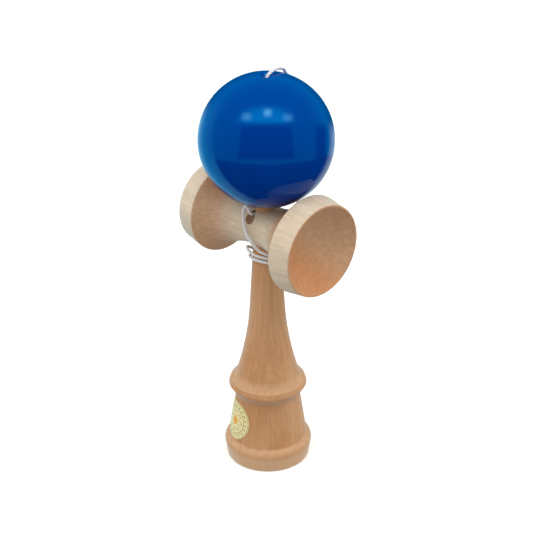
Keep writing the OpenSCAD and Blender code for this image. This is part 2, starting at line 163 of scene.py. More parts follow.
def put(tree, kind, inputs=None, **settings):
    """The outputs of a new node, with its settings and its inputs."""
    node = tree.nodes.new(kind)
    for name, value in settings.items():
        setattr(node, name, value)
    connect(tree, node, inputs or {})
    return node.outputs


def calc(tree, operation, *values):
    """The result of a Math node."""
    return put(tree, "ShaderNodeMath", dict(enumerate(values)), operation=operation)[0]


def vector_calc(tree, operation, *values, result=0):
    """The result of a Vector Math node."""
    return put(tree, "ShaderNodeVectorMath", dict(enumerate(values)), operation=operation)[result]


def scaled(tree, vector, share):
    """A vector or colour times a share."""
    return put(tree, "ShaderNodeVectorMath", {0: vector, "Scale": share}, operation="SCALE")[0]


def product(tree, *values):
    """Values multiplied together."""
    result = values[0]
    for value in values[1:]:
        result = calc(tree, "MULTIPLY", result, value)
    return result


def total(tree, start, *parts):
    """A start with parts added to it, each a value and its weight."""
    for value, weight in parts:
        start = calc(tree, "MULTIPLY_ADD", value, weight, start)
    return start


def new_object(name, data):
    """A new object in the scene."""
    thing = bpy.data.objects.new(name, data)
    bpy.context.collection.objects.link(thing)
    return thing


def placed(place, quarters=0, axis="X"):
    """Matrix that turns a piece by quarter turns about an axis and moves it to a place in millimetres."""
    return Matrix.Translation(Vector(place) * MM) @ Matrix.Rotation(quarters * math.pi / 2, 4, axis)


# Camera

def view_axes():
    """Right, up and back directions of the photograph's view."""
    back = Vector((math.sin(VIEW_TURN) * math.cos(VIEW_RISE),
                   -math.cos(VIEW_TURN) * math.cos(VIEW_RISE),
                   math.sin(VIEW_RISE)))
    right = Vector((math.cos(VIEW_TURN), math.sin(VIEW_TURN), 0))
    up = back.cross(right)
    return (right * math.cos(VIEW_ROLL) + up * math.sin(VIEW_ROLL),
            up * math.cos(VIEW_ROLL) - right * math.sin(VIEW_ROLL),
            back)


def make_camera():
    """The camera at the photograph's viewing angle."""
    camera = new_object("camera", bpy.data.cameras.new("camera"))
    camera.data.sensor_width = SENSOR_WIDTH
    camera.data.lens = SENSOR_WIDTH * FOCAL_PIXELS / FRAME_PIXELS
    camera.data.clip_start = 10 * MM
    right, up, back = view_axes()
    facing = Matrix((right, up, back)).transposed().to_4x4()
    camera.matrix_world = Matrix.Translation(AIM + back * VIEW_DISTANCE) @ facing
    bpy.context.scene.camera = camera


# Geometry trees

def add_sockets(tree, way, kinds):
    """Adds named inputs or outputs to a tree."""
    for title, kind in kinds.items():
        tree.interface.new_socket(title, in_out=way, socket_type="NodeSocket" + kind)


def geometry_tree(name, inputs):
    """A new tree with a geometry input and output and the named inputs, and its input sockets."""
    tree = bpy.data.node_groups.new(name, "GeometryNodeTree")
    tree.is_modifier = True
    add_sockets(tree, "INPUT", {"Geometry": "Geometry", **inputs})
    add_sockets(tree, "OUTPUT", {"Geometry": "Geometry"})
    return tree, put(tree, "NodeGroupInput")


def close_tree(tree, geometry, material):
    """Ends a tree: smooth, realised, and with its material."""
    smooth = put(tree, "GeometryNodeSetShadeSmooth", {"Geometry": geometry})
    real = put(tree, "GeometryNodeRealizeInstances", {"Geometry": smooth[0]})
    painted = put(tree, "GeometryNodeSetMaterial", {"Geometry": real[0], "Material": material})
    put(tree, "NodeGroupOutput", {"Geometry": painted[0]})
    return tree


def lathe_tree():
    """Turns an outline, given as a line with radius as X and height as -Y, round the Z axis."""
    tree, given = geometry_tree("lathe", {
        "Segments": "Int", "Hub radius": "Float", "Weld": "Float", "Material": "Material"})
    outline = put(tree, "GeometryNodeMeshToCurve", {"Mesh": given["Geometry"]})
    hub = put(tree, "GeometryNodeCurvePrimitiveCircle",
              {"Resolution": given["Segments"], "Radius": given["Hub radius"]}, mode="RADIUS")
    upright = put(tree, "GeometryNodeSetCurveNormal", {"Curve": hub["Curve"]}, mode="Z_UP")
    skin = put(tree, "GeometryNodeCurveToMesh",
               {"Curve": upright["Curve"], "Profile Curve": outline["Curve"]})
    welded = put(tree, "GeometryNodeMergeByDistance", {"Geometry": skin["Mesh"], "Distance": given["Weld"]})
    return close_tree(tree, welded["Geometry"], given["Material"])


def laid_string_tree():
    """Lays strands in a helix round a line."""
    tree, given = geometry_tree("laid_string", {
        "Strands": "Int", "Strand radius": "Float", "Strand offset": "Float", "Lay": "Float", "Step": "Float",
        "Sides": "Int", "Material": "Material"})
    line = put(tree, "GeometryNodeMeshToCurve", {"Mesh": given["Geometry"]})
    even = put(tree, "GeometryNodeResampleCurve",
               {"Curve": line["Curve"], "Length": given["Step"]}, mode="LENGTH")
    copies = put(tree, "GeometryNodeDuplicateElements",
                 {"Geometry": even["Curve"], "Amount": given["Strands"]}, domain="SPLINE")
    along = put(tree, "GeometryNodeSplineParameter")["Length"]
    share = calc(tree, "DIVIDE", copies["Duplicate Index"], given["Strands"])
    turns = calc(tree, "ADD", calc(tree, "DIVIDE", along, given["Lay"]), share)
    angle = product(tree, turns, TURN)
    normal = put(tree, "GeometryNodeInputNormal")["Normal"]
    tangent = put(tree, "GeometryNodeInputTangent")["Tangent"]
    side = vector_calc(tree, "CROSS_PRODUCT", tangent, normal)
    reach_normal = product(tree, calc(tree, "COSINE", angle), given["Strand offset"])
    reach_side = product(tree, calc(tree, "SINE", angle), given["Strand offset"])
    shift = vector_calc(tree, "ADD", scaled(tree, normal, reach_normal), scaled(tree, side, reach_side))
    laid = put(tree, "GeometryNodeSetPosition", {"Geometry": copies["Geometry"], "Offset": shift})
    ring = put(tree, "GeometryNodeCurvePrimitiveCircle",
               {"Resolution": given["Sides"], "Radius": given["Strand radius"]}, mode="RADIUS")
    skin = put(tree, "GeometryNodeCurveToMesh",
               {"Curve": laid["Geometry"], "Profile Curve": ring["Curve"], "Fill Caps": True})
    return close_tree(tree, skin["Mesh"], given["Material"])


def evaluated_mesh(maker, name):
    """The plain mesh that an object's modifiers make."""
    graph = bpy.context.evaluated_depsgraph_get()
    mesh = bpy.data.meshes.new_from_object(maker.evaluated_get(graph))
    mesh.name = name
    return mesh


def grow(name, points, closed, tree, **values):
    """A plain mesh object that a tree makes from the line through the points."""
    count = len(points)
    edges = [(i, (i + 1) % count) for i in range(count if closed else count - 1)]
    line = bpy.data.meshes.new(name + "_line")
    line.from_pydata(points, edges, [])
    maker = new_object(name + "_line", line)
    modifier = maker.modifiers.new("grow", "NODES")
    modifier.node_group = tree
    for item in tree.interface.items_tree:
        title = item.name.replace(" ", "_").lower()
        if item.in_out == "INPUT" and title in values:
            modifier[item.identifier] = values[title]
    mesh = evaluated_mesh(maker, name)
    bpy.data.objects.remove(maker)
    bpy.data.meshes.remove(line)
    return new_object(name, mesh)


# Outlines, as radius and height in millimetres

def arc(p, q, rise, steps=ARC_STEPS):
    """Points after p on the arc to q that bulges to the left of the way by rise."""
    p, q = Vector(p), Vector(q)
    way = q - p
    half = way.length / 2
    radius = (half * half + rise * rise) / (2 * rise)
    centre = (p + q) / 2 + Vector((-way.y, way.x)) / (2 * half) * (rise - radius)
    start = math.atan2(p.y - centre.y, p.x - centre.x)
    sweep = -math.copysign(2 * math.asin(half / abs(radius)), rise)
    angles = [start + sweep * i / steps for i in range(1, steps + 1)]
    return [centre + abs(radius) * Vector((math.cos(a), math.sin(a))) for a in angles]


def rounded(a, p, b, radius, steps=EDGE_STEPS):
    """Points that round the corner p of an outline that comes from a and goes to b."""
    a, p, b = Vector(a), Vector(p), Vector(b)
    u, v = (a - p).normalized(), (b - p).normalized()
    half = u.angle(v) / 2
    start = p + u * radius / math.tan(half)
    end = p + v * radius / math.tan(half)
    turn = math.copysign(1, (p - a).cross(b - p))
    return [start, *arc(start, end, -turn * radius * (1 - math.sin(half)), steps)]


def bowl_rise(radius, depth):
    """Rise of the arc that makes one half of a bowl's section."""
    square = radius * radius + depth * depth
    sphere = square / (2 * depth)
    return sphere - math.sqrt(sphere * sphere - square / 4)


def taper_r(z):
    """Radius of the handle's straight taper, neck to spike tip."""
    return NECK_R + (TIP_R - NECK_R) * (z - FLARE_Z) / (KEN_LENGTH - TIP_ROUND - FLARE_Z)


def waist_y(z):
    """Place on Y of the front of the cross piece's waist."""
    return -math.sqrt(WAIST_R ** 2 - (z - SARADO_Z) ** 2)


def cone_r(z):
    """Radius of the base cone."""
    return CONE_R + (CONE_TOP_R - CONE_R) * (z - CONE_Z) / (RING_LOW - CONE_Z)


def turned(name, outline, material, closed=False):
    """A piece turned on the Z axis from an outline in millimetres, with its faces outwards."""
    line = [(r * MM - LATHE_HUB, -z * MM, 0) for r, z in outline]
    piece = grow(name, line, closed, LATHE, segments=LATHE_SEGMENTS, hub_radius=LATHE_HUB, weld=LATHE_WELD,
                 material=material)
    shell = bmesh.new()
    shell.from_mesh(piece.data)
    bmesh.ops.recalc_face_normals(shell, faces=shell.faces)
    shell.to_mesh(piece.data)
    shell.free()
    return piece


def drill(piece, *cutters):
    """Takes the cutters out of a piece, with their materials left on the cut faces."""
    for cutter in cutters:
        modifier = piece.modifiers.new("drill", "BOOLEAN")
        modifier.operation = "DIFFERENCE"
        modifier.solver = "EXACT"
        modifier.material_mode = "TRANSFER"
        modifier.object = cutter
    old = piece.data
    mesh = evaluated_mesh(piece, piece.name)
    piece.modifiers.clear()
    piece.data = mesh
    bpy.data.meshes.remove(old)
    for cutter in cutters:
        bpy.data.objects.remove(cutter)


def smooth_faces(piece):
    """Smooth shading, with the turned edges kept crisp."""
    piece.data.shade_smooth()
    piece.data.set_sharp_from_angle(angle=SHARP_ANGLE)


def along_hole(cutter, start_y):
    """Lays an upright cutter along the string hole, from a place on Y."""
    cutter.data.transform(placed((HOLE_X, start_y, HOLE_Z), -1))
    return cutter


def hole_cutter(name, radius, mouth_y, end_y, material):
    """A drill along Y through the string hole, with a cone that cuts wide where the wood slants."""
    length = end_y - mouth_y
    mouth = (radius + HOLE_EDGE + DRILL_OVER, -DRILL_OVER)
    outline = [(0, -DRILL_OVER), mouth, (radius, HOLE_EDGE), (radius, length), (0, length)]
    return along_hole(turned(name, outline, material), mouth_y)


# Shader groups

def shader_group(name, inputs, outputs):
    """A new shader group with named inputs and outputs, its input sockets and its output node."""
    group = bpy.data.node_groups.new(name, "ShaderNodeTree")
    add_sockets(group, "INPUT", inputs)
    add_sockets(group, "OUTPUT", outputs)
    return group, put(group, "NodeGroupInput"), group.nodes.new("NodeGroupOutput")


def noise(tree, place, scale, detail=2, roughness=0.5, distortion=0):
    """Noise from 0 to 1 over stretched coordinates."""
    return put(tree, "ShaderNodeTexNoise",
               {"Vector": vector_calc(tree, "MULTIPLY", place, scale), "Scale": 1, "Detail": detail,
                "Roughness": roughness, "Distortion": distortion})[0]


def ease(tree, value, low, high, start=0, end=1):
    """Smooth step of a value from low to high."""
    return put(tree, "ShaderNodeMapRange",
               {"Value": value, "From Min": low, "From Max": high, "To Min": start, "To Max": end},
               interpolation_type="SMOOTHSTEP")[0]


def blend_colour(tree, share, a, b):
    """Two colours mixed by a share."""
    return put(tree, "ShaderNodeMix", {0: share, 6: a, 7: b}, data_type="RGBA")[2]


def from_axis(tree, place):
    """Distance of a place from the Z axis, and its height."""
    x, y, z = put(tree, "ShaderNodeSeparateXYZ", {"Vector": place})
    return calc(tree, "SQRT", calc(tree, "ADD", product(tree, x, x), product(tree, y, y))), z


# Shares of a fleck's size that is full, and of the kept flecks that are at full strength
FLECK_CORE, FLECK_FULL = 0.35, 0.6


def flecks(tree, place, scale, size, share):
    """Mask of lens-shaped flecks, of which only a share is kept."""
    cells = put(tree, "ShaderNodeTexVoronoi",
                {"Vector": vector_calc(tree, "MULTIPLY", place, scale), "Scale": 1})
    near = ease(tree, cells["Distance"], size, size * FLECK_CORE)
    pick = put(tree, "ShaderNodeSeparateColor", {"Color": cells["Color"]})[0]
    return product(tree, near, ease(tree, pick, 1 - share, 1 - share * FLECK_FULL))


# Beech: its tones, how far its rings stray in millimetres, where in a ring the late wood rises and falls,
# what fibres, streaks and end rings do to its tone, how strong fine flecks are, how much warm wood shows
WOOD_TONES = "Early wood", "Late wood", "End wood", "Warm wood", "Fleck"
RING_DRIFT, RING_WAVER = 5.0, 1.6
LATE_RISE, LATE_FALL = (0.25, 0.9), (1.0, 0.93)
BASE_SHADE, FIBRE_SHADE, STREAK_SHADE, END_RING_SHADE = 0.6, 0.36, 0.44, -0.14
FINE_FLECKS, WARM_EDGE, WARM_SHARE = 0.6, (0.35, 0.65), 0.75


def beech_grain_group():
    """Growth rings, fibres and ray flecks of beech, in millimetres, with the grain along Z, the pith at 0."""
    group, given, out = shader_group(
        "beech_grain",
        {"Place": "Vector", "End grain": "Float", **dict.fromkeys(WOOD_TONES, "Color"), "Ring width": "Float",
         "Ring strength": "Float", "Fleck strength": "Float"},
        {"Color": "Color", "Roughness": "Float", "Height": "Float"})
    place = given["Place"]
    drift = calc(group, "SUBTRACT", noise(group, place, (0.045, 0.045, 0.005)), 0.5)
    waver = calc(group, "SUBTRACT", noise(group, place, (0.3, 0.3, 0.02)), 0.5)
    reach = total(group, from_axis(group, place)[0], (drift, RING_DRIFT), (waver, RING_WAVER))
    phase = calc(group, "FRACT", calc(group, "DIVIDE", reach, given["Ring width"]))
    late = product(group, ease(group, phase, *LATE_RISE), ease(group, phase, *LATE_FALL),
                   given["Ring strength"])
    fibre = noise(group, place, (2.4, 2.4, 0.045), detail=4, roughness=0.6)
    streak = noise(group, place, (0.55, 0.55, 0.012), detail=3, roughness=0.55)
    tone = noise(group, place, (0.06, 0.06, 0.02))
    coarse = flecks(group, place, (1.3, 1.3, 0.24), size=0.26, share=0.4)
    fine = flecks(group, place, (1.9, 1.9, 0.42), size=0.32, share=0.6)
    marks = calc(group, "MAXIMUM", coarse, product(group, fine, FINE_FLECKS))
    across = calc(group, "SUBTRACT", 1, given["End grain"])
    marks = product(group, marks, product(group, across, given["Fleck strength"]))
    colour = blend_colour(group, late, given["Early wood"], given["Late wood"])
    colour = blend_colour(group, ease(group, tone, *WARM_EDGE, 0, WARM_SHARE), colour, given["Warm wood"])
    colour = blend_colour(group, given["End grain"], colour, given["End wood"])
    shade = total(group, BASE_SHADE, (fibre, FIBRE_SHADE), (streak, STREAK_SHADE),
                  (product(group, late, given["End grain"]), END_RING_SHADE))
    connect(group, out, {
        "Color": blend_colour(group, marks, scaled(group, colour, shade), given["Fleck"]),
        "Roughness": total(group, 0.42, (fibre, 0.2)),
        "Height": calc(group, "SUBTRACT", fibre, marks)})
    return group


def turning_lines_group():
    """Fine rings that the tool leaves round a turned piece's own axis, which is Z here, in millimetres."""
    group, given, out = shader_group(
        "turning_lines", {"Place": "Vector", "Spacing": "Float"}, {"Height": "Float"})
    radius, height = from_axis(group, given["Place"])
    along = calc(group, "DIVIDE", calc(group, "ADD", radius, height), given["Spacing"])
    line = put(group, "ShaderNodeCombineXYZ", {"X": along})[0]
    connect(group, out, {"Height": noise(group, line, (1, 1, 1), detail=3)})
    return group


def handling_group():
    """Faint smears and fine scratches of a handled surface."""
    group, given, out = shader_group("handling", {"Place": "Vector"}, {"Smear": "Float", "Scratch": "Float"})
    place = given["Place"]
    smear = noise(group, place, (0.07, 0.07, 0.07), detail=3, roughness=0.6)
    waves = noise(group, place, (0.11, 0.15, 0.13), detail=5, distortion=1.5)
    ridge = calc(group, "ABSOLUTE", calc(group, "SUBTRACT", waves, 0.5))
    connect(group, out, {"Smear": ease(group, smear, 0.4, 0.75), "Scratch": ease(group, ridge, 0.006, 0.001)})
    return group


# Materials

def new_material(name):
    """A new material, its tree and its Principled shader."""
    material = bpy.data.materials.new(name)
    material.use_nodes = True
    tree = material.node_tree
    tree.nodes.clear()
    shader = tree.nodes.new("ShaderNodeBsdfPrincipled")
    put(tree, "ShaderNodeOutputMaterial", {"Surface": shader.outputs[0]})
    return material, tree, shader


def place_in_mm(tree, turn=(0, 0, 0), shift=(0, 0, 0)):
    """Object coordinates in millimetres, turned so that the piece's axis runs along Z, and shifted."""
    return put(tree, "ShaderNodeMapping", {
        "Vector": put(tree, "ShaderNodeTexCoord")["Object"], "Location": shift, "Rotation": turn,
        "Scale": (1 / MM, 1 / MM, 1 / MM)})[0]


def bump(tree, height, strength, depth):
    """A normal bent by a height, with its depth in millimetres."""
    return put(tree, "ShaderNodeBump",
               {"Height": height, "Strength": strength, "Distance": depth * MM})[0]


def facing(tree, axis):
    """How far the surface faces along an axis, from -1 to 1."""
    normal = put(tree, "ShaderNodeTexCoord")["Normal"]
    return vector_calc(tree, "DOT_PRODUCT", normal, axis, result="Value")


# Colours in the order of the tones
HANDLE_COLOURS = [(0.62, 0.345, 0.175), (0.53, 0.275, 0.13), (0.62, 0.355, 0.19), (0.55, 0.262, 0.112),
                  (0.40, 0.20, 0.09)]
CROSS_COLOURS = [(0.74, 0.61, 0.455), (0.66, 0.52, 0.37), (0.60, 0.275, 0.125), (0.71, 0.56, 0.40),
                 (0.50, 0.36, 0.24)]
# Wood in the drilled holes and inside the ball is painted at half the handle's tone: painted shade of the
# recesses
HOLE_PAINTED_SHADE = 0.5
HOLE_PAINTED_SHADE_COLOURS = [[part * HOLE_PAINTED_SHADE for part in colour] for colour in HANDLE_COLOURS]
# The foot's paler tone, partly the wood's own and partly painted light bounced up from the floor: where it
# ends in height and how much of it shows
FOOT_BOUNCE_LIT_COLOUR, FOOT_BOUNCE_LIT_Z, FOOT_BOUNCE_LIT_SHARE = (0.80, 0.52, 0.31), 5, 0.75
# End grain shows where the surface faces along the grain. The cross piece's end grain carries painted light
# and shade by direction on top of its own tone: deep orange where it faces one way, as lit, and paler and
# greyer elsewhere, as shaded
END_GRAIN_EDGE = (0.2, 0.6)
CROSS_END_AWAY_FROM_PAINTED_LIGHT, CROSS_PAINTED_LIGHT_WAY, CROSS_PAINTED_LIGHT_EDGE = (0.60, 0.365, 0.215), (0, 0.7, 0.7), (-0.25, 0.45)
# The tool's marks in millimetres apart, and how much of the wood's relief they are
TOOL_SPACING, TOOL_SHARE = 0.35, 0.8


def beech(name, colours, pith, ring_width, ring_strength, fleck_strength, sheen, turn=(0, 0, 0),
          axis=(0, 0, 1), centre=(0, 0, 0), end_away_from_painted_light=None, foot_bounce_lit_colour=None):
    """Turned beech with grain and tool marks, end grain that may carry painted light and shade by direction,
    and a paler foot that is partly its own tone and partly painted bounce light.
    """
    material, tree, shader = new_material(name)
    paints = {tone: (*colour, 1) for tone, colour in zip(WOOD_TONES, colours)}
    # Painted light and shade: the cross piece's end wood is deeper orange on the side that faces the light
    # and paler elsewhere, partly the wood's own tone
    if end_away_from_painted_light:
        painted_light_side = ease(tree, facing(tree, CROSS_PAINTED_LIGHT_WAY), *CROSS_PAINTED_LIGHT_EDGE)
        paints["End wood"] = blend_colour(tree, painted_light_side, (*end_away_from_painted_light, 1), paints["End wood"])
    end_grain = ease(tree, calc(tree, "ABSOLUTE", facing(tree, axis)), *END_GRAIN_EDGE)
    grain = put(tree, "ShaderNodeGroup", {
        **paints, "Place": place_in_mm(tree, turn, pith), "End grain": end_grain, "Ring width": ring_width,
        "Ring strength": ring_strength, "Fleck strength": fleck_strength}, node_tree=GRAIN)
    lathe_place = place_in_mm(tree, turn, centre)
    lines = put(tree, "ShaderNodeGroup", {"Place": lathe_place, "Spacing": TOOL_SPACING}, node_tree=LINES)
    height = total(tree, grain["Height"], (lines["Height"], TOOL_SHARE))
    colour = grain["Color"]
    # The foot is painted paler towards the floor: painted bounce light, partly the wood's own tone
    if foot_bounce_lit_colour:
        height_mm = put(tree, "ShaderNodeSeparateXYZ", {"Vector": lathe_place})["Z"]
        low = ease(tree, height_mm, CREASE_Z, FOOT_BOUNCE_LIT_Z, 0, FOOT_BOUNCE_LIT_SHARE)
        colour = blend_colour(tree, low, colour, (*foot_bounce_lit_colour, 1))
    connect(tree, shader, {
        "Base Color": colour, "Roughness": grain["Roughness"],
        "Normal": bump(tree, height, 0.35, 0.05), "Specular IOR Level": 0.08,
        "Sheen Weight": sheen, "Sheen Roughness": 0.35})
    return material


def blue_lacquer():
    """Glossy royal blue lacquer, with a faint ripple and the smears of handling."""
    material, tree, shader = new_material("blue_lacquer")
    place = place_in_mm(tree)
    marks = put(tree, "ShaderNodeGroup", {"Place": place}, node_tree=HANDLING)
    cloud = noise(tree, place, (0.05, 0.05, 0.05))
    ripple = noise(tree, place, (0.35, 0.35, 0.35))
    connect(tree, shader, {
        "Base Color": blend_colour(tree, cloud, (0.0, 0.034, 0.25, 1), (0.0, 0.041, 0.28, 1)),
        "Roughness": total(tree, 0.06, (marks["Smear"], 0.03), (marks["Scratch"], 0.06)),
        "Normal": bump(tree, ripple, 0.12, 0.02),
        "IOR": 1.5, "Specular IOR Level": 0.2, "Specular Tint": (0.3, 0.85, 1.0, 1)})
    return material


def cotton():
    """White cotton string: fibres that run along each strand, by the strand's own UV map."""
    material, tree, shader = new_material("string_cotton")
    strand = put(tree, "ShaderNodeUVMap", uv_map="strand")["UV"]
    fibre = noise(tree, strand, (14, 2.2, 1), detail=3, roughness=0.6)
    fuzz = noise(tree, place_in_mm(tree), (5, 5, 5), detail=3, roughness=0.7)
    both = total(tree, product(tree, fibre, 0.5), (fuzz, 0.5))
    connect(tree, shader, {
        "Base Color": blend_colour(tree, both, (0.66, 0.65, 0.66, 1), (0.98, 0.97, 0.95, 1)),
        "Roughness": total(tree, 0.75, (both, 0.15)),
        "Normal": bump(tree, both, 0.5, 0.05),
        "Specular IOR Level": 0.2, "Sheen Weight": 0.15, "Sheen Roughness": 0.5})
    return material


def gold_foil():
    """Pale gold foil, printed in green and orange where the seal's own attributes say."""
    material, tree, shader = new_material("gold_foil")
    place = place_in_mm(tree)
    marks = put(tree, "ShaderNodeGroup", {"Place": place}, node_tree=HANDLING)
    crinkle = noise(tree, place, (0.9, 0.9, 0.9), detail=3, roughness=0.6)
    colour = blend_colour(tree, crinkle, (0.82, 0.68, 0.32, 1), (0.97, 0.86, 0.50, 1))
    for attribute, ink in (("green_ink", (0.25, 0.29, 0.10, 1)), ("orange_ink", (0.86, 0.42, 0.09, 1))):
        printed = put(tree, "ShaderNodeAttribute", attribute_name=attribute)["Fac"]
        colour = blend_colour(tree, printed, colour, ink)
    connect(tree, shader, {
        "Base Color": colour, "Roughness": total(tree, 0.28, (marks["Smear"], 0.15)),
        "Normal": bump(tree, crinkle, 0.25, 0.03), "Specular IOR Level": 0.016})
    return material


# String

def smooth_route(route, steps):
    """Points on a smooth curve through the points of a route."""
    points = [Vector(p) for p in route]
    last = len(points) - 1
    curve = []
    for i in range(last):
        a, b, c, d = points[max(i - 1, 0)], points[i], points[i + 1], points[min(i + 2, last)]
        for j in range(steps):
            t = j / steps
            curve.append((2 * b + (c - a) * t + (2 * a - 5 * b + 4 * c - d) * t * t
                          + (3 * b - a - 3 * c + d) * t * t * t) / 2)
    return [*curve, points[last]]


def wind_point(angle):
    """A point of the winding round the neck, for an angle in degrees."""
    slack = math.exp(-((angle - LOOP_TURN) / LOOP_WIDTH) ** 2)
    radius = taper_r(WIND_LOW_Z) + STRING_D / 2 + WIND_GAP + LOOP_SLACK * slack
    high = math.cos(math.radians(angle - TILT_TURN)) - math.cos(math.radians(WIND_FROM - TILT_TURN))
    z = WIND_TOP_Z - WIND_PITCH * (angle - WIND_FROM) / 360 + WIND_TILT * high + LOOP_LIFT * slack
    a = math.radians(angle)
    return Vector((radius * math.cos(a), radius * math.sin(a), z))


def ball_point(turn, polar, gap):
    """A point of the string over the ball: turn from straight behind and angle from the top, in degrees."""
    t, p = math.radians(turn), math.radians(polar)
    way = Vector((-math.sin(t) * math.sin(p), math.cos(t) * math.sin(p), math.cos(p)))
    return Vector((0, 0, BALL_Z)) + (BALL_R + STRING_D / 2 + gap) * way


def lifted(route, height):
    """A route's points with a height added."""
    return [(x, y, z + height) for x, y, z in route]


def string_path():
    """The string's line in metres: from the handle's knot, round the neck, over the ball to the bead."""
    step = (WIND_TO - WIND_FROM) / WIND_STEPS
    start_way = (wind_point(WIND_FROM) - wind_point(WIND_FROM + step)).normalized() * STRING_D
    end_way = (wind_point(WIND_TO) - wind_point(WIND_TO - step)).normalized() * STRING_D
    start, end = wind_point(WIND_FROM) + start_way, wind_point(WIND_TO) + end_way
    winding = [wind_point(WIND_FROM + (WIND_TO - WIND_FROM) * i / WIND_FINE) for i in range(WIND_FINE + 1)]
    lead = [(HOLE_X, KEN_KNOT_Y, HOLE_Z), *lifted(LEAD_ROUTE, SARADO_Z), start + start_way]
    run = [end + end_way, *lifted(NECK_ROUTE, SARADO_Z), *(ball_point(*place) for place in BACK_ROUTE),
           *lifted(TOP_ROUTE, BALL_Z + BALL_R), (0, 0, BEAD_KNOT_TOP_Z)]
    line = [*smooth_route(lead, ROUTE_STEPS), start, *winding, end, *smooth_route(run, ROUTE_STEPS)]
    return [p * MM for p in line]


def laid_string(name, path, diameter, material):
    """Three strands laid round a path, with a UV map that runs round and along each strand."""
    strand_r = diameter / (2 + 4 / math.sqrt(3)) * STRAND_PRESS
    piece = grow(name, path, False, LAID, strands=STRAND_COUNT, strand_radius=strand_r,
                 strand_offset=diameter / 2 - strand_r, lay=STRING_LAY * diameter / (STRING_D * MM),
                 step=STRING_STEP, sides=STRAND_SIDES, material=material)
    mesh = piece.data
    rings = len(mesh.vertices) // (STRAND_COUNT * STRAND_SIDES)
    uv = mesh.uv_layers.new(name="strand")
    for face in mesh.polygons:
        sides = [mesh.loops[i].vertex_index % STRAND_SIDES for i in face.loop_indices]
        wraps = max(sides) - min(sides) > STRAND_SIDES // 2
        for i, side in zip(face.loop_indices, sides):
            ring = mesh.loops[i].vertex_index // STRAND_SIDES % rings
            turned_side = side + STRAND_SIDES if wraps and side < STRAND_SIDES // 2 else side
            uv.data[i].uv = (turned_side / STRAND_SIDES, ring * STRING_STEP / diameter)
    return piece


def make_string(material):
    """The string from knot to knot, wound round the handle's neck and laid over the ball."""
    path = string_path()
    string = laid_string("string", path, STRING_D * MM, material)
    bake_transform(string)
    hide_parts("string_lead", "string_neck_winding", "string_ball_run")
    return string, path


def knot_path():
    """Line of a knot of two wraps round its own standing part, along Z, which leaves at the top."""
    thick = STRING_D * KNOT_DRAWN
    wrap_r = KNOT_R - thick / 2
    low = thick / 2
    climb = (KNOT_H - thick) / KNOT_WRAPS
    line = [(0, 0, KNOT_H), (0, 0, KNOT_H * KNOT_BEND), (wrap_r * KNOT_FOOT_R, 0, low + KNOT_FOOT_Z)]
    for i in range(KNOT_STEPS + 1):
        turns = KNOT_WRAPS * i / KNOT_STEPS
        a = TURN * turns
        line.append((wrap_r * math.cos(a), wrap_r * math.sin(a), low + climb * turns))
    return smooth_route(line, KNOT_SMOOTH), thick


def make_knot(name, place, body, node, material):
    """A tied knot that stands for a node."""
    line, thick = knot_path()
    knot = laid_string(name, [p * MM for p in line], thick * MM, material)
    knot.data.transform(place)
    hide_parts(node)
    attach(knot, body)
    return knot


# Wooden pieces

def ken_outline():
    """The handle from the middle of its foot cup to the spike's tip."""
    foot, band, crease = (FOOT_R, 0), (BAND_R, BAND_Z), (CREASE_R, CREASE_Z)
    cup_top, cup_edge = (0, FOOT_CUP_DEPTH), (FOOT_CUP_R, 0)
    cup = arc(cup_top, cup_edge, bowl_rise(FOOT_CUP_R, FOOT_CUP_DEPTH))
    shoulder = arc(band, crease, -SHOULDER_BOW)
    ring_foot, ring_edge = (CONE_TOP_R, RING_LOW), (RING_EDGE_R, RING_EDGE_Z)
    ring_top, flare_foot = (RING_TOP_R, RING_TOP_Z), (FLARE_R, COVE_Z)
    cove = arc(ring_top, flare_foot, COVE_BOW)
    tip = (TIP_R, KEN_LENGTH - TIP_ROUND)
    return [
        cup_top, *cup[:-2],
        *rounded(cup[-3], cup_edge, foot, FOOT_CUP_EDGE),
        *rounded(cup_edge, foot, band, FOOT_ROUND),
        *rounded(foot, band, shoulder[3], BAND_ROUND), *shoulder[4:],
        *arc(crease, (CONE_R, CONE_Z), CREASE_BOW, EDGE_STEPS),
        ring_foot, *rounded(ring_foot, ring_edge, ring_top, RING_ROUND),
        *rounded(ring_edge, ring_top, cove[0], RING_TOP_ROUND), *cove[1:],
        *arc(flare_foot, (NECK_R, FLARE_Z), FLARE_BOW),
        tip, *arc(tip, (0, KEN_LENGTH), -bowl_rise(TIP_R, TIP_ROUND)),
    ]


def make_ken(material, painted_shade_hole_material):
    """The handle, drilled for the string and its knot."""
    ken = turned("handle_ken", ken_outline(), material)
    pocket_outline = [(0, 0), (POCKET_R, 0), (POCKET_R, POCKET_LENGTH), (0, POCKET_LENGTH)]
    pocket = along_hole(turned("pocket", pocket_outline, painted_shade_hole_material), POCKET_Y)
    wall_y = -math.sqrt(taper_r(HOLE_Z) ** 2 - HOLE_X ** 2)
    drill(ken, hole_cutter("ken_hole", KEN_HOLE_R, wall_y, POCKET_Y + POCKET_LAP, painted_shade_hole_material), pocket)
    smooth_faces(ken)
    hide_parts("ken")
    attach(ken, "handle")


def cup_outline(cup):
    """One half of the cross piece, from the waist to the middle of its cup."""
    corner = Vector((cup["corner_r"], cup["reach"] - cup["band"]))
    rim = Vector((cup["rim_r"], cup["reach"]))
    lip = Vector((cup["cup_r"], cup["reach"]))
    waist = Vector((WAIST_R, WAIST_HALF))
    run, rise = corner.y - waist.y, corner.x - waist.x
    radius = (run * run + rise * rise) / (2 * rise)
    half = (corner - waist).length / 2
    flank = arc(waist, corner, radius - math.sqrt(radius * radius - half * half))
    bottom = Vector((0, cup["reach"] - cup["depth"]))
    bowl = arc(lip, bottom, bowl_rise(cup["cup_r"], cup["depth"]))
    return [
        waist, *flank[:-4],
        *rounded(flank[-5], corner, rim, CORNER_ROUND),
        *rounded(corner, rim, lip, RIM_ROUND),
        *rounded(rim, lip, bowl[2], LIP_ROUND),
        *bowl[2:],
    ]


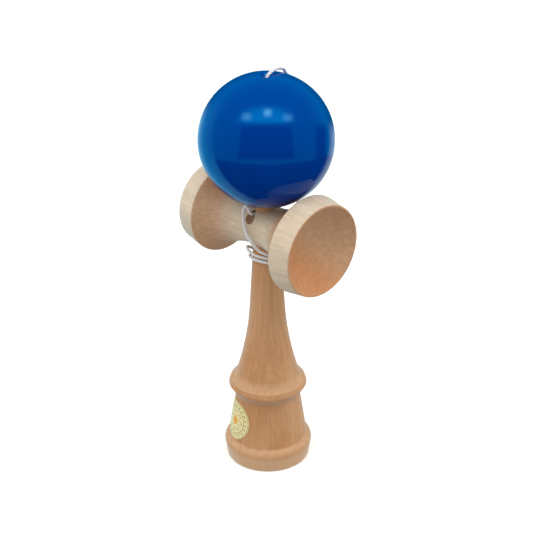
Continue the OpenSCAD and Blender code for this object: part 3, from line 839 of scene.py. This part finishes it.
def make_sarado(material, painted_shade_hole_material):
    """The cross piece, bored for the handle's taper and drilled for the string."""
    left = [(r, -x) for r, x in reversed(cup_outline(SMALL_CUP))]
    sarado = turned("cross_piece_sarado", [*left, *cup_outline(BIG_CUP)], material)
    sarado.data.transform(placed((0, 0, SARADO_Z), 1, "Y"))
    low, high = SARADO_Z - WAIST_R - BORE_OVER, SARADO_Z + WAIST_R + BORE_OVER
    low_r, high_r = taper_r(low) + TAPER_GAP, taper_r(high) + TAPER_GAP
    bore = turned("bore", [(0, low), (low_r, low), (high_r, high), (0, high)], painted_shade_hole_material)
    drill(sarado, bore, hole_cutter("sarado_hole", SARADO_HOLE_R, waist_y(HOLE_Z), 0, painted_shade_hole_material))
    smooth_faces(sarado)
    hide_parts("sarado")
    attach(sarado, "handle")


def make_ball(material, painted_shade_hole_material):
    """The lacquered ball, bare inside its holes, where the wood is painted darker as shade."""
    edge_r = MOUTH_R + MOUTH_BEVEL
    edge_drop = math.sqrt(BALL_R ** 2 - edge_r ** 2)
    flare_r = TOP_HOLE_R + TOP_HOLE_FLARE
    flare_up = math.sqrt(BALL_R ** 2 - flare_r ** 2)
    start, end = math.atan2(flare_up, flare_r), math.atan2(-edge_drop, edge_r)
    angles = [start + (end - start) * i / BALL_STEPS for i in range(BALL_STEPS + 1)]
    skin = [Vector((BALL_R * math.cos(a), BALL_Z + BALL_R * math.sin(a))) for a in angles]
    mouth = Vector((MOUTH_R, BALL_Z - edge_drop + MOUTH_BEVEL))
    shoulder = Vector((MOUTH_R, CEILING_Z - CEILING_CONE))
    ceiling = Vector((CEILING_R, CEILING_Z))
    hole_low = Vector((TOP_HOLE_R, CEILING_Z))
    hole_high = Vector((TOP_HOLE_R, BALL_Z + flare_up - TOP_HOLE_FLARE))
    outline = [
        *rounded(hole_high, skin[0], skin[2], BALL_EDGE_ROUND), *skin[2:-2],
        *rounded(skin[-3], skin[-1], mouth, BALL_EDGE_ROUND),
        *rounded(skin[-1], mouth, shoulder, BALL_EDGE_ROUND),
        *rounded(mouth, shoulder, ceiling, CEILING_ROUND),
        ceiling, hole_low, hole_high,
    ]
    ball = turned("ball", outline, material, closed=True)
    # The bare wood inside takes the darker hole material: painted shade
    ball.data.materials.append(painted_shade_hole_material)
    bare_below = BALL_R - LACQUER_DEPTH
    for face in ball.data.polygons:
        from_middle = (face.center / MM - Vector((0, 0, BALL_Z))).length
        face.material_index = 1 if from_middle < bare_below else 0
    smooth_faces(ball)
    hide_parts("ball")
    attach(ball, "ball")


def make_bead(material):
    """The turned bead that stops the string inside the ball."""
    end_r = BEAD_R / 2
    low, high = (end_r, BEAD_Z), (end_r, BEAD_Z + BEAD_H)
    hole_low, hole_high = (BEAD_HOLE_R, BEAD_Z), (BEAD_HOLE_R, BEAD_Z + BEAD_H)
    outline = [hole_low, low, *arc(low, high, -(BEAD_R - end_r)), hole_high]
    bead = turned("bead_turned", outline, material, closed=True)
    smooth_faces(bead)
    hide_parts("bead")
    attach(bead, "string_top")
    return bead


# Seal

def step(value, low, high):
    """Smooth step of a number from low to high."""
    t = min(max((value - low) / (high - low), 0), 1)
    return t * t * (3 - 2 * t)


# Places of the seal's relief as shares of its radius, with the bounds of each soft edge
SEAL_RINGS, SEAL_SPOKES, SEAL_BACK_RINGS = 56, 160, 4
RIM_INNER, RIM_OUTER = (0.9, 0.92), (0.965, 0.99)
DOTS, DOT_CIRCLE, DOT_EDGE = 20, 0.8, (0.042, 0.06)
LINE_CIRCLE, LINE_EDGE = 0.68, (0.012, 0.026)
PETALS, PETAL_LOW, PETAL_SWING, PETAL_INNER, PETAL_EDGE = 8, 0.3, 0.26, (0.25, 0.28), 0.02
PETAL_LINE = (0.07, 0.03)
CORE_EDGE = (0.2, 0.24)
# Raised heights in millimetres, and the strength of the green ink, all over and on the rim
RIM_H, DOT_H, LINE_H, PETAL_H, CORE_H = 0.05, 0.05, 0.02, 0.05, 0.07
GREEN_INK, RIM_INK = 0.85, 0.5


def seal_relief(share, angle):
    """Raised height in millimetres, green ink and orange ink, by share of the seal's radius and by angle."""
    rim = step(share, *RIM_INNER) * (1 - step(share, *RIM_OUTER))
    part = TURN / DOTS
    off = (angle + part / 2) % part - part / 2
    apart = math.hypot(share * math.cos(off) - DOT_CIRCLE, share * math.sin(off))
    dot = 1 - step(apart, *DOT_EDGE)
    line = 1 - step(abs(share - LINE_CIRCLE), *LINE_EDGE)
    reach = PETAL_LOW + PETAL_SWING * abs(math.cos(PETALS * angle / 2))
    petal = (1 - step(share, reach - PETAL_EDGE, reach + PETAL_EDGE)) * step(share, *PETAL_INNER)
    core = 1 - step(share, *CORE_EDGE)
    outlined = petal * step(share, *(reach - inside for inside in PETAL_LINE))
    height = RIM_H * rim + DOT_H * dot + LINE_H * line + PETAL_H * petal + CORE_H * core
    return height, max(dot, line, outlined, rim * RIM_INK) * GREEN_INK, core


def seal_point(share, angle, height):
    """A point on the base cone for a place in the seal and a height over the wood."""
    lean = math.atan2(CONE_R - CONE_TOP_R, RING_LOW - CONE_Z)
    across, up = SEAL_R * share * math.cos(angle), SEAL_R * share * math.sin(angle)
    z = SEAL_Z + up * math.cos(lean)
    radius = cone_r(z) + height * math.cos(lean)
    turn = SEAL_TURN + across / cone_r(z)
    return Vector((radius * math.cos(turn), radius * math.sin(turn), z + height * math.sin(lean))) * MM


def make_seal(material):
    """The round foil seal, with a rosette, a line and a ring of dots raised in it."""
    levels = [(i / SEAL_RINGS, True) for i in range(SEAL_RINGS + 1)]
    levels += [(1 - i / SEAL_BACK_RINGS, False) for i in range(SEAL_BACK_RINGS + 1)]
    shell = bmesh.new()
    green = shell.verts.layers.float.new("green_ink")
    orange = shell.verts.layers.float.new("orange_ink")
    loops = []
    for share, top in levels:
        loop = []
        for k in range(SEAL_SPOKES):
            angle = TURN * k / SEAL_SPOKES
            raised, green_ink, orange_ink = seal_relief(share, angle) if top else (-SEAL_THICK, 0, 0)
            vertex = shell.verts.new(seal_point(share, angle, SEAL_GLUE + SEAL_THICK + raised))
            vertex[green], vertex[orange] = green_ink, orange_ink
            loop.append(vertex)
        loops.append(loop)
    for inner, outer in zip(loops, loops[1:]):
        for k in range(SEAL_SPOKES):
            after = (k + 1) % SEAL_SPOKES
            shell.faces.new((inner[k], outer[k], outer[after], inner[after]))
    bmesh.ops.remove_doubles(shell, verts=shell.verts, dist=SEAL_WELD)
    bmesh.ops.recalc_face_normals(shell, faces=shell.faces)
    mesh = bpy.data.meshes.new("foil_seal")
    shell.to_mesh(mesh)
    shell.free()
    mesh.materials.append(material)
    seal = new_object("foil_seal", mesh)
    smooth_faces(seal)
    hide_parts("seal_sticker")
    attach(seal, "handle")


# Stage and light

FLOOR_HALF = 4.0
# Soft boxes by turn and rise in degrees and by brightness, with their distance and width in metres
SOFT_BOXES = [(-10, 48, 1.55), (47, 69, 1.6), (106, 49, 1.4), (150, 12, 1.55), (-70, 12, 1.6)]
BOX_DISTANCE, BOX_WIDTH = 1.2, 0.75
# The room's brightness rises between these heights of a direction
ROOM_HEIGHTS, ROOM_LOW, ROOM_HIGH = (-0.2, 0.9), 0.54, 0.8
WHITE, WALL_TINT = (1, 1, 1, 1), (0, 0.6, 1, 1)

# What gloss mirrors. A direction is named by the place on the ball that mirrors it towards the photograph's
# view: x to the right, y up, and out from the middle, as shares of the ball's radius. Two numbers bound a
# soft edge, and three are a low and a high bound and their softness
SWEEP = {"slanted": (0.87, 0.93), "x": (0.1, -0.35), "y": (0.6, 0.2)}
RIGHT = {"out": (0.89, 0.95), "x": (0.35, 0.6), "y": (0.3, 0.02)}
EDGE = {"out": (0.92, 0.965)}
DOORWAY = {"beside": (0.396, 0.356), "y": (-0.27, 0.187, 0.02)}
PILLAR = {"x": (0.7, 0.86, 0.05), "y": (-0.29, 0.2, 0.06)}
WALL = {"level": (-0.365, -0.335)}
SKIRTING = {"level": (-0.36, -0.33, 0.012), "x": (-0.66, 0.66, 0.06)}
CLOTH = {"apart": (1.0, 0.4), "y": (0.2, 0.28)}
SWEEP_SLANT, DOORWAY_LEAN, WALL_SAG = -0.16, -0.266, -0.16
CLOTH_WIDE, CLOTH_HIGH, CLOTH_Y = 0.5, 0.27, 0.27
# Lamps behind the cloth by place, half width and brightness
LAMPS = [(-0.28, 0.325, 0.06, 3.0), (0.02, 0.38, 0.05, 6.0), (0.305, 0.315, 0.06, 2.6)]
LAMP_HALF_H, LAMP_SOFT = 0.045, 0.04
# Brightness of the mirrored things: tinted ones, then plain white ones, and the gain from the middle outwards
WALL_OUT, WALL_GLOW, PILLAR_DARK = (0.88, 0.97), (0.95, 0.25), -0.95
SKIRTING_TINTED, CLOTH_TINTED, RIGHT_TINTED = 0.35, 4.3, 0.2
SWEEP_TINTED_X, SWEEP_TINTED, SWEEP_TINTED_FOOT, EDGE_TINTED = (-0.75, -0.2), 1.3, 0.42, -0.4
SWEEP_PLAIN_X, SWEEP_PLAIN, EDGE_PLAIN, RIGHT_PLAIN = (-0.85, -0.4), (0.05, 0.25), 0.26, 0.55
GAIN_MIDDLE, GAIN_FALL, GAIN_POWER = 2.5, -1.35, 4


def make_floor():
    """A plain pale floor."""
    material, tree, shader = new_material("pale_floor")
    connect(tree, shader, {
        "Base Color": (0.9, 0.9, 0.9, 1), "Emission Color": WHITE, "Emission Strength": 0.25,
        "Roughness": 0.9, "Specular IOR Level": 0})
    corners = [(x * FLOOR_HALF, y * FLOOR_HALF, 0) for x, y in ((-1, -1), (1, -1), (1, 1), (-1, 1))]
    mesh = bpy.data.meshes.new("floor")
    mesh.from_pydata(corners, [], [(0, 1, 2, 3)])
    mesh.materials.append(material)
    floor = new_object("floor", mesh)
    floor.visible_glossy = False
    floor.visible_diffuse = False


def soft_box(name, turn, rise, brightness):
    """A square soft box that looks at the ball from a direction in degrees; brightness is its radiance."""
    light = bpy.data.lights.new(name, "AREA")
    light.shape = "SQUARE"
    light.size = BOX_WIDTH
    light.energy = brightness * math.pi * BOX_WIDTH * BOX_WIDTH
    box = new_object(name, light)
    t, r = math.radians(turn), math.radians(rise)
    way = Vector((math.sin(t) * math.cos(r), -math.cos(t) * math.cos(r), math.sin(r)))
    box.location = BALL_MIDDLE + way * BOX_DISTANCE
    box.rotation_mode = "QUATERNION"
    box.rotation_quaternion = way.to_track_quat("Z", "Y")
    box.visible_glossy = False


def mask(tree, seen, edges):
    """Product of the soft edges of what is seen."""
    parts = []
    for title, (low, high, *soft) in edges.items():
        bounds = [(low - soft[0], low + soft[0]), (high + soft[0], high - soft[0])] if soft else [(low, high)]
        parts += [ease(tree, seen[title], *bound) for bound in bounds]
    return product(tree, *parts)


def mirrored_place(tree, way):
    """Place on the ball, x and y, that mirrors a direction towards the photograph's view."""
    right, _, back = view_axes()
    view = (AIM + back * VIEW_DISTANCE - BALL_MIDDLE).normalized()
    across = (right - view * right.dot(view)).normalized()
    middle = vector_calc(tree, "NORMALIZE", vector_calc(tree, "ADD", way, view))
    return [vector_calc(tree, "DOT_PRODUCT", middle, axis, result="Value")
            for axis in (across, view.cross(across))]


def mirrored_studio(tree, way):
    """Tinted and plain brightness of what gloss mirrors: walls, lamps behind a cloth and a pale sweep."""
    x, y = mirrored_place(tree, way)
    square = product(tree, x, x)
    out = calc(tree, "SQRT", total(tree, square, (y, y)))
    wide = calc(tree, "DIVIDE", x, CLOTH_WIDE)
    high = calc(tree, "DIVIDE", calc(tree, "SUBTRACT", y, CLOTH_Y), CLOTH_HIGH)
    seen = {
        "x": x, "y": y, "out": out, "level": total(tree, y, (square, WALL_SAG)),
        "slanted": total(tree, out, (x, SWEEP_SLANT)),
        "beside": calc(tree, "ABSOLUTE", calc(tree, "DIVIDE", x, total(tree, 1, (y, DOORWAY_LEAN)))),
        "apart": calc(tree, "SQRT", total(tree, product(tree, high, high), (wide, wide)))}
    sweep, right, edge, doorway, pillar, wall, skirting, cloth = [
        mask(tree, seen, edges) for edges in (SWEEP, RIGHT, EDGE, DOORWAY, PILLAR, WALL, SKIRTING, CLOTH)]
    walls = product(tree, wall, calc(tree, "SUBTRACT", 1, doorway), total(tree, 1, (pillar, PILLAR_DARK)),
                    calc(tree, "SUBTRACT", 1, sweep), ease(tree, out, *WALL_OUT, *WALL_GLOW))
    lamps = [(mask(tree, seen, {"x": (lamp_x - half, lamp_x + half, LAMP_SOFT),
                                "y": (lamp_y - LAMP_HALF_H, lamp_y + LAMP_HALF_H, LAMP_SOFT)}), strength)
             for lamp_x, lamp_y, half, strength in LAMPS]

    sweep_start = total(tree, SWEEP_TINTED, (edge, EDGE_TINTED))
    sweep_tinted = ease(tree, x, *SWEEP_TINTED_X, sweep_start, SWEEP_TINTED_FOOT)
    sweep_plain = total(tree, ease(tree, x, *SWEEP_PLAIN_X, *SWEEP_PLAIN), (edge, EDGE_PLAIN))
    tinted = total(tree, walls, (skirting, SKIRTING_TINTED), (cloth, CLOTH_TINTED), (sweep, sweep_tinted),
                   (right, RIGHT_TINTED))
    plain = total(tree, product(tree, sweep, sweep_plain), (right, RIGHT_PLAIN), *lamps)
    gain = total(tree, GAIN_MIDDLE, (calc(tree, "POWER", out, GAIN_POWER), GAIN_FALL))
    return product(tree, tinted, gain), product(tree, plain, gain)


def make_light():
    """Soft studio light: a room that is bright overhead, five soft boxes and what gloss mirrors."""
    world = bpy.data.worlds.new("studio")
    bpy.context.scene.world = world
    world.use_nodes = True
    tree = world.node_tree
    tree.nodes.clear()

    def glow(colour, strength):
        """Light of one colour."""
        return put(tree, "ShaderNodeBackground", {"Color": colour, "Strength": strength})[0]

    def choose(share, a, b):
        """Two lights mixed by a share."""
        return put(tree, "ShaderNodeMixShader", {0: share, 1: a, 2: b})[0]

    ray = put(tree, "ShaderNodeLightPath")
    way = put(tree, "ShaderNodeTexCoord")["Generated"]
    height = put(tree, "ShaderNodeSeparateXYZ", {"Vector": way})["Z"]
    room = glow(WHITE, ease(tree, height, *ROOM_HEIGHTS, ROOM_LOW, ROOM_HIGH))
    tinted, plain = mirrored_studio(tree, way)
    mirrored = put(tree, "ShaderNodeAddShader", {0: glow(WALL_TINT, tinted), 1: glow(WHITE, plain)})[0]
    lit = choose(ray["Is Glossy Ray"], room, mirrored)
    put(tree, "ShaderNodeOutputWorld", {"Surface": choose(ray["Is Camera Ray"], lit, glow(WHITE, 1.0))})
    for number, (turn, rise, brightness) in enumerate(SOFT_BOXES):
        soft_box(f"soft_box_{number}", turn, rise, brightness)


make_camera()
bpy.context.scene.view_settings.view_transform = "Standard"
LATHE, LAID = lathe_tree(), laid_string_tree()
GRAIN, LINES, HANDLING = beech_grain_group(), turning_lines_group(), handling_group()

string_cotton = cotton()
string, string_line = make_string(string_cotton)

handle_beech = beech("handle_beech", HANDLE_COLOURS, pith=(34, 21, 0), ring_width=2.6, ring_strength=0.28,
                     fleck_strength=0.35, sheen=0.3, foot_bounce_lit_colour=FOOT_BOUNCE_LIT_COLOUR)
cross_beech = beech("cross_piece_beech", CROSS_COLOURS, pith=(95, 18, 0), ring_width=1.2, ring_strength=0.5,
                    fleck_strength=0.3, sheen=0.1, turn=(0, -math.pi / 2, 0), axis=(1, 0, 0),
                    centre=(SARADO_Z, 0, 0), end_away_from_painted_light=CROSS_END_AWAY_FROM_PAINTED_LIGHT)
# Wood inside the holes, painted darker as shade of the recesses
hole_beech = beech("hole_beech", HOLE_PAINTED_SHADE_COLOURS, pith=(20, 9, 0), ring_width=2.0, ring_strength=0.6,
                   fleck_strength=0.5, sheen=0)
bead_beech = beech("bead_wood", CROSS_COLOURS, pith=(12, 5, 0), ring_width=1.2, ring_strength=0.6,
                   fleck_strength=0.4, sheen=0.1)

make_ken(handle_beech, hole_beech)
make_sarado(cross_beech, hole_beech)
make_ball(blue_lacquer(), hole_beech)
bead = make_bead(bead_beech)
bead_knot_place = placed((0, 0, BEAD_KNOT_TOP_Z - KNOT_H))
bead_knot = make_knot("knot_under_bead", bead_knot_place, "string_top", "bead_knot", string_cotton)
ken_knot_place = placed((HOLE_X, KEN_KNOT_Y + KNOT_H, HOLE_Z), 1)
ken_knot = make_knot("knot_in_handle", ken_knot_place, "handle", "ken_knot", string_cotton)
make_seal(gold_foil())

make_floor()
make_light()
